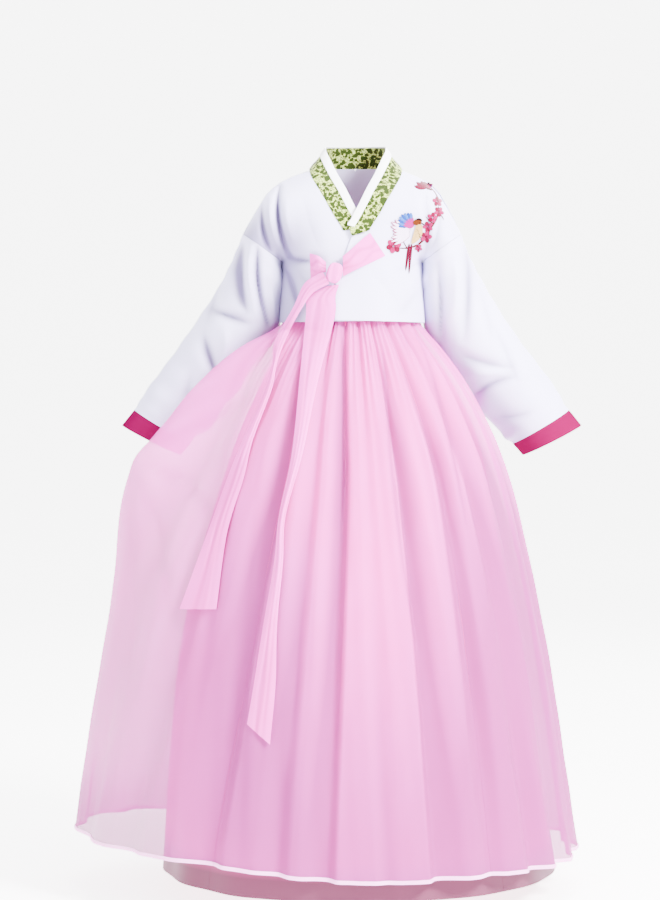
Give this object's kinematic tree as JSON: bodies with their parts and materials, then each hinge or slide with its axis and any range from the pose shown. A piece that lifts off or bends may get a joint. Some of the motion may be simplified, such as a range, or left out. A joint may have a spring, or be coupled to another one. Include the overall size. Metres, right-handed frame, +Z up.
{
  "type": "hanbok",
  "caption": "Girl's Korean hanbok as worn, hollow: short white crossed jacket with green collar, tied pink ribbon, and full pleated sheer pink skirt over a lining.",
  "frame": {"origin": "middle of the neck, level with the tops of the shoulders, where the wearer holds the clothes up", "axes": "+Z up, -Y to the front of the wearer, +X to the wearer's left"},
  "size_m": [0.6753, 0.5393, 0.9562],
  "materials": {
    "jacket_white": "white satin with a faint cool cast",
    "cuff_pink": "hot pink satin",
    "collar_green": "pale green brocade with an olive scroll",
    "edging_white": "plain stiff white cotton",
    "ribbon_pink": "pale pink fine cloth",
    "skirt_pink": "sheer pink organza",
    "lining_pink": "smooth pink lining"
  },
  "bodies": {
    "root": {"jacket_left": "jacket_white", "jacket_right": "jacket_white", "sleeve_left": "jacket_white", "sleeve_right": "jacket_white", "cuff_left": "cuff_pink", "cuff_right": "cuff_pink", "collar": "collar_green", "collar_edging": "edging_white", "ribbon_band": "ribbon_pink", "ribbon_knot": "ribbon_pink", "ribbon_loop": "ribbon_pink", "ribbon_tail_short": "ribbon_pink", "ribbon_tail_long": "ribbon_pink", "skirt_band": "lining_pink", "skirt_front": "skirt_pink", "skirt_left": "skirt_pink", "skirt_right": "skirt_pink", "lining_front": "lining_pink", "lining_left": "lining_pink", "lining_right": "lining_pink"}
  },
  "joints": []
}
